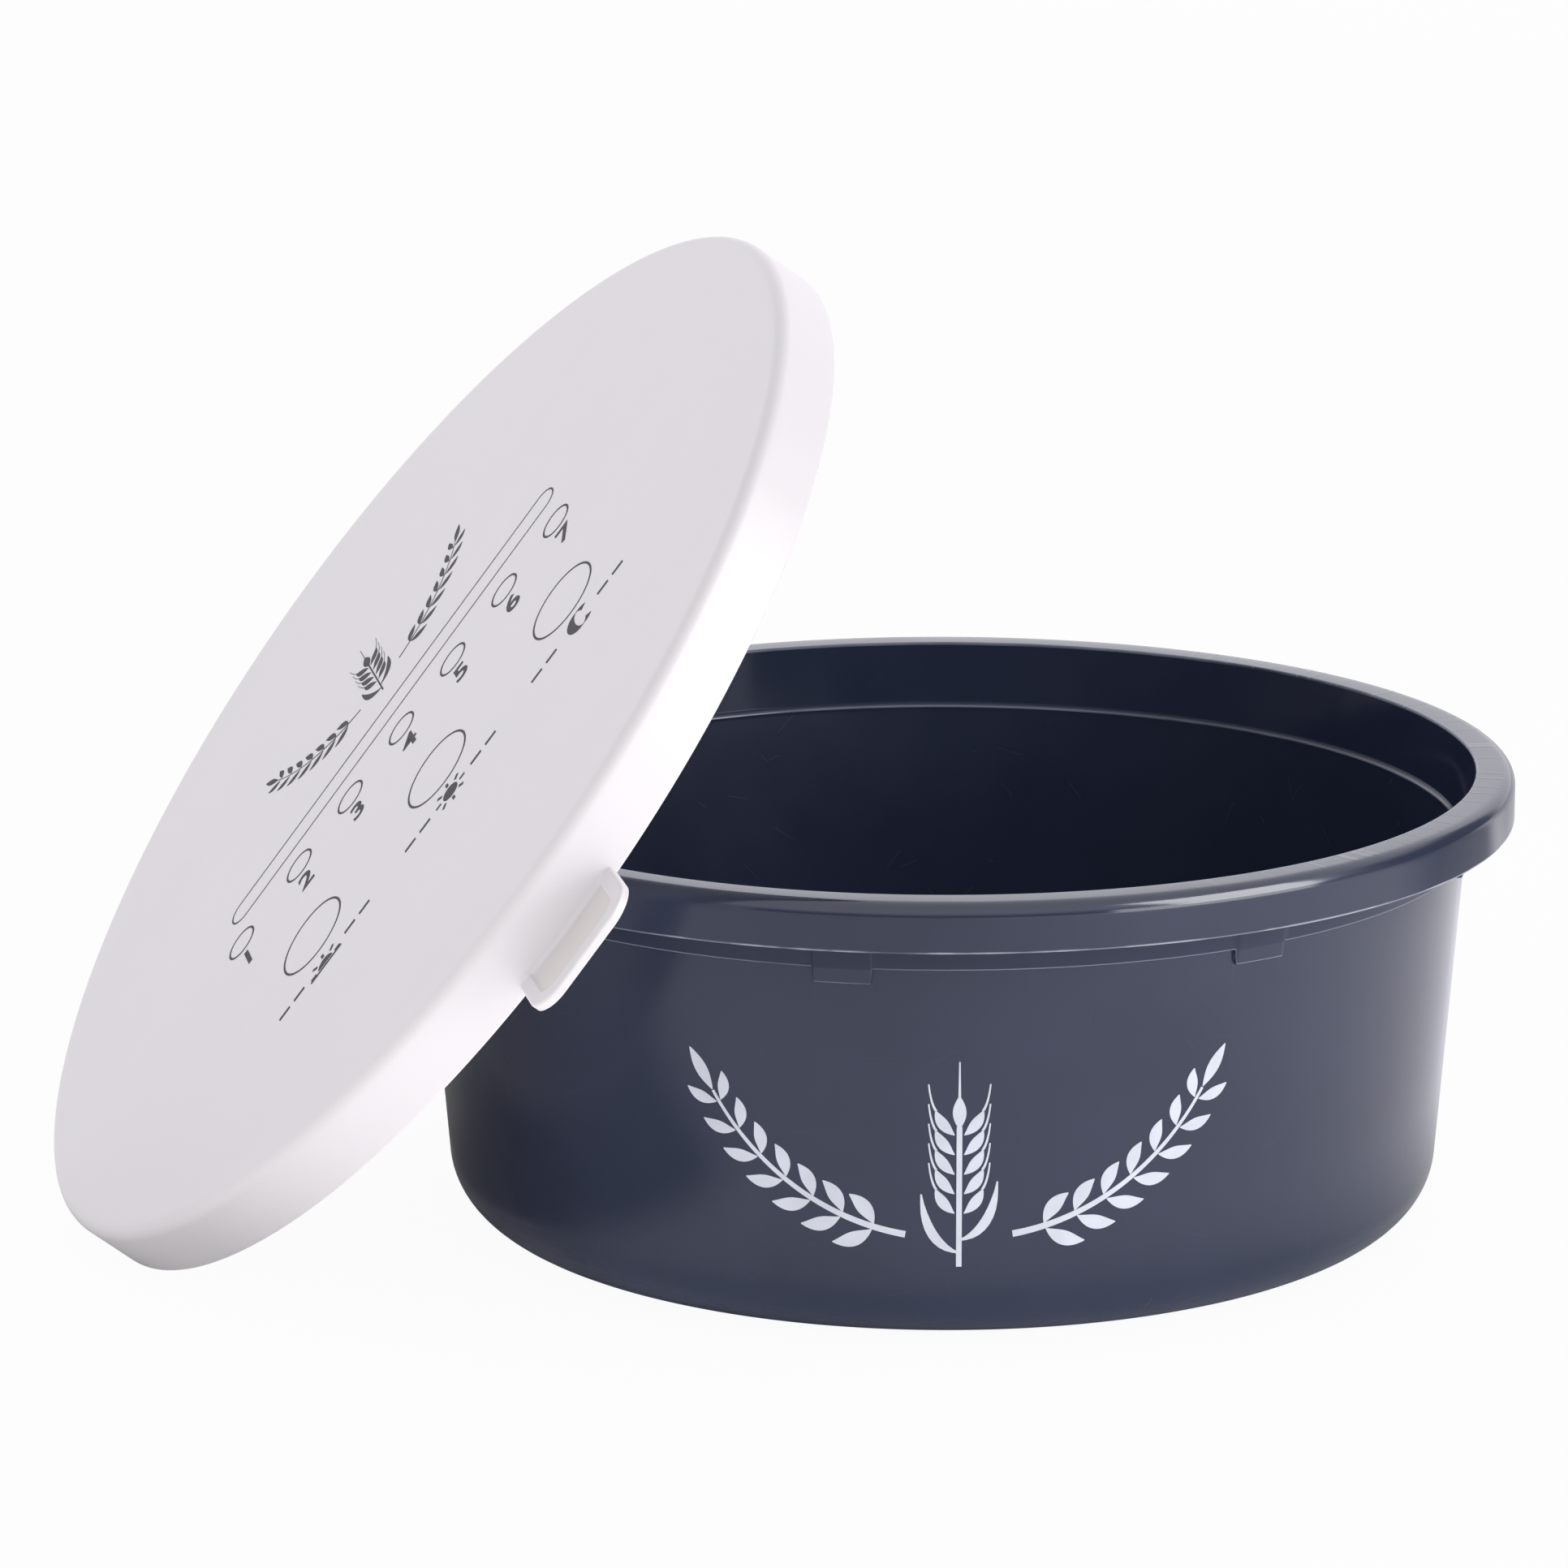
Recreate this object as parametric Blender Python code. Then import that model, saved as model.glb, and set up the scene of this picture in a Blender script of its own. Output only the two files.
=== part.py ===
"""Feed bowl with its push-fit lid, the lid standing on the floor and leaning on the bowl's rim.

Metres, +Z up. The origin is the centre of the bowl's underside, and -Y is the front.
Both pieces are thin-walled mouldings: each is one outline turned about its own axis,
with the lugs added to the bowl and the pull tab added to the lid.
"""

import bmesh
import bpy
from math import atan2, cos, hypot, pi, radians, sin, tan
from mathutils import Matrix, Vector

# Bowl
BOWL_HEIGHT = 0.1194
RIM_RADIUS = 0.1500
BOWL_WALL = 0.0023
FLOOR_THICKNESS = 0.0026
BASE_CORNER = 0.0173

# Wall: how far the rim stands out of its top, and how far its foot is drawn in
RIM_OVERHANG = 0.0125
WALL_TAPER = 0.0081

# Collar that steps out of the wall under the rim, and the ledge it leaves inside
STEP_DEPTH = 0.0197
STEP_OUT = 0.0012
STEP_ROUND = 0.0004
LEDGE_FALL = 0.0010
LEDGE_ROUND = 0.0006

# Rim, turned out and down
RIM_FACE = 0.0103
RIM_SKIRT = 0.0125
RIM_SHOULDER = 0.0038
RIM_LIP_ROUND = 0.0008
RIM_EDGE_ROUND = 0.0003
RIM_ROOT_ROUND = 0.0010

# Lugs that run down from the rim's underside past the step
LUG_COUNT = 8
LUG_WIDTH = 0.0146
LUG_DROP = 0.0040
LUG_PROUD = 0.0004
LUG_FIRST_ANGLE = radians(-11.2)

# Lid
LID_PLAY = 0.0019
LID_PANEL = 0.0022
LID_WALL = 0.0024
LID_SHOULDER = 0.0034
LID_OVERHANG = 0.0030
LID_FLARE = 0.0002
LID_EDGE_ROUND = 0.0005

# Bead inside the lid's skirt, which clicks in under the rim's skirt
BEAD_GRIP = 0.0008
BEAD_ROUND = 0.0006
BEAD_START_SHARE = 0.06
BEAD_CREST_SHARE = 0.38
BEAD_END_SHARE = 0.74

# Pull tab on the lid's open edge
TAB_WIDTH = 0.0366
TAB_REACH = 0.0209
TAB_CORNER = 0.0088
TAB_THICKNESS = 0.0026
TAB_BORDER = 0.0040
TAB_RECESS = 0.0008
TAB_SETBACK = 0.0002
TAB_EDGE_ROUND = 0.0004
TAB_ANGLE = radians(0.87)

# How the lid leans: which way its printed face looks, and where it stands
LEAN_HEADING = radians(194.95)
LEAN_RISE = radians(37.15)
LEAN_SIDESTEP = 0.0177
LID_SPIN = radians(3.86)
SEAT_GAP = 0.0003

# Facets
TURN_STEPS = 80
LARGE_ROUND_STEPS = 7
ROUND_STEPS = 4
SMALL_ROUND_STEPS = 2
WELD = 0.000001
OVERRUN = 0.0020


def clear_scene():
    """Takes every object out of the scene."""
    for obj in list(bpy.data.objects):
        bpy.data.objects.remove(obj, do_unlink=True)


def plastic(name, colour, roughness):
    """A plain moulded plastic of one colour."""
    material = bpy.data.materials.new(name)
    material.use_nodes = True
    shader = material.node_tree.nodes["Principled BSDF"]
    shader.inputs["Base Color"].default_value = (*colour, 1.0)
    shader.inputs["Roughness"].default_value = roughness
    shader.inputs["Metallic"].default_value = 0.0
    material.diffuse_color = (*colour, 1.0)
    return material


def rounded(corners, closed=False):
    """The outline through corners of (x, y, radius, steps), each round one cut by an arc.

    The arc touches both legs of its corner. Its radius shrinks where a leg is too short.
    """
    points = []
    last = len(corners) - 1
    for index, (x, y, radius, steps) in enumerate(corners):
        corner = Vector((x, y))
        if radius <= 0 or (not closed and index in (0, last)):
            points.append(corner)
            continue
        before = Vector(corners[index - 1][:2]) - corner
        after = Vector(corners[(index + 1) % len(corners)][:2]) - corner
        half = before.angle(after) / 2
        reach = min(radius / tan(half), before.length / 2, after.length / 2)
        radius = reach * tan(half)
        centre = corner + (before.normalized() + after.normalized()).normalized() * hypot(reach, radius)
        start = corner + before.normalized() * reach - centre
        end = corner + after.normalized() * reach - centre
        sweep = (atan2(end.y, end.x) - atan2(start.y, start.x) + pi) % (2 * pi) - pi
        for step in range(steps + 1):
            points.append(centre + Matrix.Rotation(sweep * step / steps, 2) @ start)
    return points


def new_object(name, mesh_builder, material):
    """Links a new object whose mesh is what the builder leaves in an empty bmesh."""
    bm = bmesh.new()
    mesh_builder(bm)
    bmesh.ops.recalc_face_normals(bm, faces=bm.faces)
    mesh = bpy.data.meshes.new(name)
    bm.to_mesh(mesh)
    bm.free()
    mesh.materials.append(material)
    mesh.shade_smooth()
    mesh.set_sharp_from_angle(angle=radians(35))
    obj = bpy.data.objects.new(name, mesh)
    bpy.context.scene.collection.objects.link(obj)
    return obj


def turn(bm, outline):
    """Spins an outline of (radius, height), which starts and ends on the axis, into a closed solid."""
    vertices = [bm.verts.new((point.x, 0, point.y)) for point in outline]
    edges = [bm.edges.new(pair) for pair in zip(vertices, vertices[1:])]
    bmesh.ops.spin(
        bm,
        geom=vertices + edges,
        axis=(0, 0, 1),
        cent=(0, 0, 0),
        angle=2 * pi,
        steps=TURN_STEPS,
        use_merge=True,
    )
    bmesh.ops.remove_doubles(bm, verts=bm.verts, dist=WELD)


def prism(bm, outline, place, depth):
    """Extrudes a flat outline by depth along its own z, and puts it at place."""
    face = bm.faces.new([bm.verts.new(place @ Vector((point.x, point.y, 0))) for point in outline])
    extruded = bmesh.ops.extrude_face_region(bm, geom=[face])["geom"]
    shift = place.to_3x3() @ Vector((0, 0, depth))
    moved = [item for item in extruded if isinstance(item, bmesh.types.BMVert)]
    bmesh.ops.translate(bm, verts=moved, vec=shift)


def tool(obj):
    """Marks an object that only shapes another one."""
    obj.hide_render = True
    obj.display_type = "WIRE"


def combine(obj, other, operation):
    """Adds or cuts another object by a Boolean."""
    modifier = obj.modifiers.new(other.name, "BOOLEAN")
    modifier.operation = operation
    modifier.solver = "EXACT"
    modifier.object = other
    tool(other)


# Radii and heights that more than one feature uses

def step_height():
    """Height of the step where the collar begins."""
    return BOWL_HEIGHT - STEP_DEPTH


def wall_top_radius():
    """Outer radius of the wall at the step."""
    return RIM_RADIUS - RIM_OVERHANG


def wall_radius(height):
    """Outer radius of the tapered wall at a height."""
    return wall_top_radius() - WALL_TAPER * (1 - height / step_height())


def rim_bore_radius():
    """Radius of the bowl's mouth at the rim's top."""
    return RIM_RADIUS - RIM_FACE


def collar_radius(height):
    """Outer radius of the collar, which flares from the step to the rim's underside."""
    foot = wall_top_radius() + STEP_OUT
    top = rim_bore_radius() + BOWL_WALL
    return foot + (top - foot) * (height - step_height()) / (STEP_DEPTH - BOWL_WALL)


def lid_radius():
    """Outer radius of the lid at its shoulder."""
    return RIM_RADIUS + LID_PLAY + LID_WALL


def lid_depth():
    """Height of the lid: its panel, the rim's skirt that it covers, and the room for the bead."""
    return LID_PANEL + RIM_SKIRT + LID_OVERHANG


def bowl_outline():
    """The bowl's section: up the outside, over the rim and down the inside."""
    under_rim = BOWL_HEIGHT - BOWL_WALL
    skirt_foot = BOWL_HEIGHT - RIM_SKIRT
    skirt_bore = RIM_RADIUS - BOWL_WALL
    step = step_height()
    ledge = step + BOWL_WALL
    return rounded([
        (0, 0, 0, 0),
        (wall_radius(0), 0, BASE_CORNER, LARGE_ROUND_STEPS),
        (wall_top_radius(), step, 0, 0),
        (collar_radius(step), step, STEP_ROUND, SMALL_ROUND_STEPS),
        (collar_radius(under_rim), under_rim, RIM_ROOT_ROUND, SMALL_ROUND_STEPS),
        (skirt_bore, under_rim, RIM_SHOULDER - BOWL_WALL, SMALL_ROUND_STEPS),
        (skirt_bore, skirt_foot, 0, 0),
        (RIM_RADIUS, skirt_foot, RIM_EDGE_ROUND, SMALL_ROUND_STEPS),
        (RIM_RADIUS, BOWL_HEIGHT, RIM_SHOULDER, ROUND_STEPS),
        (rim_bore_radius(), BOWL_HEIGHT, RIM_LIP_ROUND, SMALL_ROUND_STEPS),
        (collar_radius(step) - BOWL_WALL, ledge + LEDGE_FALL, LEDGE_ROUND, SMALL_ROUND_STEPS),
        (wall_top_radius() - BOWL_WALL, ledge, LEDGE_ROUND, SMALL_ROUND_STEPS),
        (
            wall_radius(FLOOR_THICKNESS) - BOWL_WALL,
            FLOOR_THICKNESS,
            BASE_CORNER - BOWL_WALL,
            LARGE_ROUND_STEPS,
        ),
        (0, FLOOR_THICKNESS, 0, 0),
    ])


def lug_outline():
    """A lug's section: rooted in the wall, its face a little proud of the collar."""
    foot = step_height() - LUG_DROP
    top = BOWL_HEIGHT - BOWL_WALL / 2
    root = BOWL_WALL / 2
    return [
        Vector((wall_radius(foot) - root, foot)),
        Vector((collar_radius(foot) + LUG_PROUD, foot)),
        Vector((collar_radius(top) + LUG_PROUD, top)),
        Vector((collar_radius(top) - root, top)),
    ]


def add_lugs(bm):
    """The ring of lugs, evenly spaced from the first one's angle from the front."""
    outline = lug_outline()
    upright = Matrix.Rotation(pi / 2, 4, "X")
    centred = Matrix.Translation((0, 0, -LUG_WIDTH / 2))
    for index in range(LUG_COUNT):
        angle = LUG_FIRST_ANGLE + 2 * pi * index / LUG_COUNT - pi / 2
        prism(bm, outline, Matrix.Rotation(angle, 4, "Z") @ upright @ centred, LUG_WIDTH)


def build_bowl():
    """The bowl with its lugs."""
    navy = plastic("bowl_navy", (0.028, 0.034, 0.055), 0.30)
    bowl = new_object("bowl", lambda bm: turn(bm, bowl_outline()), navy)
    lugs = new_object("lug_ring", add_lugs, navy)
    combine(bowl, lugs, "UNION")
    return bowl


def lid_outline():
    """The lid's section, its outer face at height zero and its skirt hanging down."""
    depth = lid_depth()
    skirt_bore = lid_radius() + LID_FLARE - LID_WALL
    bead_top = -depth + LID_OVERHANG
    return rounded([
        (0, 0, 0, 0),
        (lid_radius(), 0, LID_SHOULDER, ROUND_STEPS),
        (lid_radius() + LID_FLARE, -depth, LID_EDGE_ROUND, SMALL_ROUND_STEPS),
        (skirt_bore, -depth, LID_EDGE_ROUND, SMALL_ROUND_STEPS),
        (skirt_bore, bead_top - LID_OVERHANG * BEAD_END_SHARE, 0, 0),
        (RIM_RADIUS - BEAD_GRIP, bead_top - LID_OVERHANG * BEAD_CREST_SHARE, BEAD_ROUND, ROUND_STEPS),
        (skirt_bore, bead_top - LID_OVERHANG * BEAD_START_SHARE, 0, 0),
        (lid_radius() - LID_WALL, -LID_PANEL, LID_SHOULDER - LID_WALL, ROUND_STEPS),
        (0, -LID_PANEL, 0, 0),
    ])


def tab_outline(inset, root):
    """The tab's plan towards -Y: straight sides and round outer corners, drawn in by an inset."""
    half = TAB_WIDTH / 2 - inset
    outer = -(lid_radius() + LID_FLARE + TAB_REACH - inset)
    corner = TAB_CORNER - inset
    return rounded([
        (-half, -root, 0, 0),
        (-half, outer, corner, LARGE_ROUND_STEPS),
        (half, outer, corner, LARGE_ROUND_STEPS),
        (half, -root, 0, 0),
    ], closed=True)


def build_tab(plastic_white):
    """The pull tab, a flat lip with a raised border round three sides of a sunk panel."""
    foot = TAB_SETBACK - lid_depth()
    root = lid_radius() + LID_FLARE - LID_WALL * 3 / 4
    floor = foot + TAB_THICKNESS - TAB_RECESS
    aside = Matrix.Rotation(TAB_ANGLE, 4, "Z")
    tab = new_object(
        "tab_blank",
        lambda bm: prism(
            bm,
            tab_outline(0, root),
            aside @ Matrix.Translation((0, 0, foot)),
            TAB_THICKNESS,
        ),
        plastic_white,
    )
    panel = new_object(
        "tab_panel",
        lambda bm: prism(
            bm,
            tab_outline(TAB_BORDER, root - OVERRUN),
            aside @ Matrix.Translation((0, 0, floor)),
            TAB_RECESS + OVERRUN,
        ),
        plastic_white,
    )
    combine(tab, panel, "DIFFERENCE")
    edges = tab.modifiers.new("edge_round", "BEVEL")
    edges.width = TAB_EDGE_ROUND
    edges.segments = 1
    edges.limit_method = "ANGLE"
    edges.angle_limit = radians(50)
    panel.parent = tab
    return tab


def lean():
    """The leaning lid's place: its edge on the floor, its panel against the rim's shoulder."""
    level = Vector((cos(LEAN_HEADING), sin(LEAN_HEADING), 0))
    aside = Vector((sin(LEAN_HEADING), -cos(LEAN_HEADING), 0))
    face = level * cos(LEAN_RISE) + Vector((0, 0, sin(LEAN_RISE)))
    slope = Vector((0, 0, cos(LEAN_RISE))) - level * sin(LEAN_RISE)
    edge = LID_EDGE_ROUND
    rise = (
        edge
        + (lid_depth() - edge) * sin(LEAN_RISE)
        + (lid_radius() + LID_FLARE - edge) * cos(LEAN_RISE)
    )
    shoulder = level * (RIM_RADIUS - RIM_SHOULDER) + Vector((0, 0, BOWL_HEIGHT - RIM_SHOULDER))
    stand_off = shoulder.dot(face) + RIM_SHOULDER + SEAT_GAP + LID_PANEL
    away = (stand_off - rise * face.z) / cos(LEAN_RISE)
    centre = level * away + aside * LEAN_SIDESTEP + Vector((0, 0, rise))
    across = slope * cos(LID_SPIN) - aside * sin(LID_SPIN)
    turned = Matrix((across, face.cross(across), face)).transposed().to_4x4()
    return Matrix.Translation(centre) @ turned


def build_lid():
    """The lid with its tab, standing on edge against the bowl."""
    white = plastic("lid_white", (0.83, 0.81, 0.84), 0.45)
    lid = new_object("lid", lambda bm: turn(bm, lid_outline()), white)
    tab = build_tab(white)
    tab.parent = lid
    combine(lid, tab, "UNION")
    lid.matrix_world = lean()
    return lid


def main():
    clear_scene()
    build_bowl()
    build_lid()


if __name__ == "__main__":
    main()
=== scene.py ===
"""Feed bowl with its lid: finished surfaces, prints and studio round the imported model.

The bowl and the lid are turned sections, computed as whole arrays. The prints are thin
bands and blades laid on the lid's face and round the bowl's wall.
"""

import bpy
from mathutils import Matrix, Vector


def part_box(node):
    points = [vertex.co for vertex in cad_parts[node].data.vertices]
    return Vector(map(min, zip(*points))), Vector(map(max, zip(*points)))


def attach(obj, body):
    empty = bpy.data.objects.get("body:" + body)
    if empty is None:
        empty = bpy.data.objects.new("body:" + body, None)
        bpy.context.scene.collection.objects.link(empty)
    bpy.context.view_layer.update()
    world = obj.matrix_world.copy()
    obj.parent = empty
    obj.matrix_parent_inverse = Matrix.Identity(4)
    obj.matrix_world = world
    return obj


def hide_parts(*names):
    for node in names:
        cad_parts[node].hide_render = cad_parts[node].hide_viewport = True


bl_info = {
    "name": "Feed Bowl",
    "version": (1, 0, 0),
    "blender": (4, 5, 0),
    "location": "3D View > Sidebar > Feed Bowl",
    "description": "Builds a moulded feed bowl with its leaning lid, their prints and a studio",
    "category": "Object",
}

import bpy
import numpy as np
from bpy.props import FloatProperty, FloatVectorProperty, IntProperty, PointerProperty
from math import cos, pi, radians, sin, tan
from mathutils import Matrix, Vector

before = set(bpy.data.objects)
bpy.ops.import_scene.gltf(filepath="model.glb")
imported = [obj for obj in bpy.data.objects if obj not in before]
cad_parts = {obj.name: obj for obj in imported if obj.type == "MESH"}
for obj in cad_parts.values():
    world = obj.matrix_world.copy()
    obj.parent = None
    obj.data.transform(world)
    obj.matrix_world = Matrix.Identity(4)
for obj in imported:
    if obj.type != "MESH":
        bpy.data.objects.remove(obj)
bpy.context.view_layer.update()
BOWL_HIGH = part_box("bowl")[1]


# Sizes and colours

def length(name, default, description):
    """A length in metres."""
    return FloatProperty(
        name=name, description=description, default=default, min=0.0, unit="LENGTH", precision=5
    )


def turn_of(name, degrees, description):
    """An angle, given here in degrees."""
    return FloatProperty(name=name, description=description, default=radians(degrees), unit="ROTATION")


def strength(name, default, description):
    """A brightness, or a power in watts."""
    return FloatProperty(name=name, description=description, default=default)


def colour(name, default, description):
    """A linear colour."""
    return FloatVectorProperty(
        name=name, description=description, default=default, size=3, min=0.0, max=1.0, subtype="COLOR"
    )


class FEEDBOWL_PG_bowl(bpy.types.PropertyGroup):
    """The bowl's section and its lugs"""

    height: length("Height", BOWL_HIGH[2], "From the underside to the rim's top")
    wall: length("Wall", 0.0023, "Thickness of the wall")
    floor: length("Floor", 0.0026, "Thickness of the floor")
    base_radius: length("Base radius", 0.1294, "Where the wall's line meets the floor's")
    base_corner: length("Base corner", 0.0173, "Radius of the round at the foot")
    wall_top_radius: length("Wall top radius", 0.1375, "Outer radius of the wall under the step")
    step_height: length("Step height", 0.0997, "Height of the step under the collar")
    step_out: length("Step out", 0.0012, "How far the collar stands out at the step")
    rim_radius: length("Rim radius", BOWL_HIGH[0], "Outer radius of the rim")
    rim_face: length("Rim face", 0.0103, "Width of the rim seen from above")
    rim_skirt: length("Rim skirt", 0.0125, "Depth of the rim's turned-down skirt")
    rim_shoulder: length("Rim shoulder", 0.0038, "Round between the rim's top and its skirt")
    lug_count: IntProperty(name="Lugs", description="Lugs round the collar", default=8, min=1)
    lug_width: length("Lug width", 0.0146, "Width of a lug")
    lug_drop: length("Lug drop", 0.0040, "How far a lug runs down past the step")
    lug_proud: length("Lug proud", 0.0004, "How far a lug stands out of the collar")
    lug_first: turn_of("First lug", -11.2, "Angle of the first lug from the front")
    navy: colour("Navy", (0.0230, 0.0306, 0.0625), "Colour of the bowl's plastic")


class FEEDBOWL_PG_lid(bpy.types.PropertyGroup):
    """The lid's section, its tab and how it leans"""

    radius: length("Radius", 0.15425, "Outer radius of the lid at its shoulder")
    panel: length("Panel", 0.0022, "Thickness of the flat panel")
    wall: length("Skirt wall", 0.0024, "Thickness of the skirt")
    depth: length("Depth", 0.0177, "From the outer face to the open edge")
    shoulder: length("Shoulder", 0.0034, "Round between the panel and the skirt")
    flare: length("Flare", 0.0002, "How much wider the skirt is at its open edge")
    bead: length("Bead", 0.0027, "How far the grip bead stands in from the skirt")
    tab_width: length("Tab width", 0.0366, "Width of the pull tab")
    tab_reach: length("Tab reach", 0.0209, "How far the tab stands out of the skirt")
    tab_corner: length("Tab corner", 0.0088, "Round of the tab's corners in plan")
    tab_thickness: length("Tab thickness", 0.0026, "Thickness of the tab at its border")
    tab_border: length("Tab border", 0.0044, "Width of the border round the sunk panel")
    tab_recess: length("Tab recess", 0.0006, "Depth of the sunk panel")
    tab_round: length("Tab round", 0.0008, "Round of the tab's upper edge")
    tab_fillet: length("Tab fillet", 0.0011, "Round between the skirt and the tab")
    tab_angle: turn_of("Tab angle", 0.87, "Turn of the tab about the lid's axis")
    heading: turn_of("Heading", 194.95, "Which way the printed face looks, from +X")
    rise: turn_of("Rise", 37.15, "How far the printed face looks up")
    sidestep: length("Sidestep", 0.0177, "How far the lid stands to one side of its heading")
    spin: turn_of("Spin", 3.86, "Turn of the print about the lid's own axis")
    seat_gap: length("Seat gap", 0.0003, "Gap between the lid and the rim that it leans on")
    white: colour("White", (0.840, 0.808, 0.840), "Colour of the lid's plastic")


class FEEDBOWL_PG_print(bpy.types.PropertyGroup):
    """The printed marks"""

    stroke: length("Stroke", 0.00068, "Width of the lid's printed lines")
    film: length("Film", 0.00006, "Thickness of the print on the lid")
    day_ring: length("Day ring", 0.0050, "Radius of a small ring")
    day_pitch: length("Day pitch", 0.0225, "Distance between small rings")
    meal_ring: length("Meal ring", 0.0116, "Radius of a large ring")
    meal_pitch: length("Meal pitch", 0.0536, "Distance between large rings")
    slot_length: length("Slot length", 0.1422, "Length of the long slot outline")
    slot_width: length("Slot width", 0.0090, "Width of the long slot outline")
    wall_film: length("Wall film", 0.00010, "Thickness of the print on the bowl")
    ink: colour("Ink", (0.020, 0.019, 0.024), "Colour of the lid's print")
    pale: colour("Pale print", (0.640, 0.665, 0.750), "Colour of the bowl's print")


class FEEDBOWL_PG_stage(bpy.types.PropertyGroup):
    """The camera, the floor and the lamps"""

    lens: FloatProperty(name="Lens", description="Focal length in millimetres", default=165.97, min=1.0)
    yaw: turn_of("Yaw", -0.283, "Turn of the view from +Y towards +X")
    pitch: turn_of("Pitch", 13.852, "How far the view looks down")
    roll: turn_of("Roll", -0.172, "Turn of the view about its own axis")
    stand: FloatVectorProperty(
        name="Stand",
        description="Where the camera stands",
        default=(-0.032534, -1.847349, 0.568327),
        size=3,
        subtype="TRANSLATION",
        precision=5,
    )
    horizon: strength("Horizon", 1.1, "The pale backdrop")
    ceiling: strength("Ceiling", 0.49, "The light from the room")
    gloss_low: strength("Gloss low", 0.30, "The dim front of the room, as seen in gloss")
    gloss_back: strength("Gloss back", 1.2, "The backdrop, as seen in gloss")
    gloss_high: strength("Gloss high", 1.75, "The ceiling, as seen in gloss")
    gloss_tint: colour("Gloss tint", (0.945, 0.930, 1.0), "Tint of what is seen in gloss")
    key_power: strength("Key power", 45.0, "Watts of the large panel seen only in gloss")
    front_power: strength("Front power", 5.5, "Watts of the front softbox")
    right_power: strength("Right power", 8.2, "Watts of the right softbox")
    top_power: strength("Top power", 3.0, "Watts of the overhead strip")
    back_power: strength("Back power", 5.0, "Watts of the softbox behind")
    left_power: strength("Left power", 1.4, "Watts of the left softbox")
    floor_glow: strength("Floor glow", 0.95, "Share of plain white seen in the floor")
    floor_sheen: strength("Floor sheen", 0.5, "Extra brightness of the floor's right in gloss")
    floor_bounce: strength("Floor bounce", 2.15, "The floor, for soft light")
    edge_power: strength("Edge power", 0.29, "Watts of the small low panel seen only in gloss")
    paper: colour("Paper", (0.92, 0.92, 0.92), "Colour of the floor")


# Surfaces

# A round up to this radius can be an outer edge, and no round takes more than this share of a leg
SMALL_ROUND = 0.0012
LEG_SHARE = 0.49
# How far a guard point stands from its arc: a share of the radius, and a length added to it
GUARD_SHARE = 0.18
GUARD_LEAST = 0.00008
# Degrees between two faces past which their edge is a crease
CREASE_ANGLE = 38.0


def section(corners):
    """Points along a section whose corners are rounded, each with the share of a sharp outer edge it is on.

    A corner is (across, up, radius, steps). Its arc has the tangent length radius / tan(half
    the corner's angle), and its points are the arc's centre plus the radius at evenly spaced
    angles between the two tangent points. Each leg also gets a point a short way in from
    both ends, so that the smooth shading of an arc doesn't spread along it. A small round
    that turns the same way as the whole outline is an outer edge.
    """
    nodes = np.array([corner[:2] for corner in corners])
    after = np.roll(nodes, -1, 0)
    turning = np.sign(np.sum(nodes[:, 0] * after[:, 1] - after[:, 0] * nodes[:, 1]))
    parts = [np.append(nodes[0], 0)[None]]
    for index in range(1, len(corners) - 1):
        radius, steps = corners[index][2:]
        here = nodes[index]
        if radius == 0:
            parts.append(np.append(here, 0)[None])
            continue
        legs = nodes[[index - 1, index + 1]] - here
        sizes = np.linalg.norm(legs, axis=1)
        ways = legs / sizes[:, None]
        half = np.arccos(np.clip(ways[0] @ ways[1], -1, 1)) / 2
        reach = min(radius / tan(half), sizes.min() * LEG_SHARE)
        bulge = (ways[1, 0] * ways[0, 1] - ways[1, 1] * ways[0, 0]) * turning
        edge = float(bulge > 0 and radius <= SMALL_ROUND)
        radius = reach * tan(half)
        middle = ways.sum(0) / np.linalg.norm(ways.sum(0))
        centre = here + middle * np.hypot(reach, radius)
        starts = here + ways * reach - centre
        angles = np.arctan2(starts[:, 1], starts[:, 0])
        sweep = (angles[1] - angles[0] + pi) % (2 * pi) - pi
        around = angles[0] + sweep * np.linspace(0, 1, steps + 1)
        arc = centre + radius * np.stack([np.cos(around), np.sin(around)], 1)
        guard = radius * GUARD_SHARE + GUARD_LEAST
        inner = here + ways * np.minimum(reach + guard, sizes * 0.5)[:, None]
        parts.append(np.append(inner[0], 0)[None])
        parts.append(np.column_stack([arc, np.full(len(arc), edge)]))
        parts.append(np.append(inner[1], 0)[None])
    parts.append(np.append(nodes[-1], 0)[None])
    return np.concatenate(parts)


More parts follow.
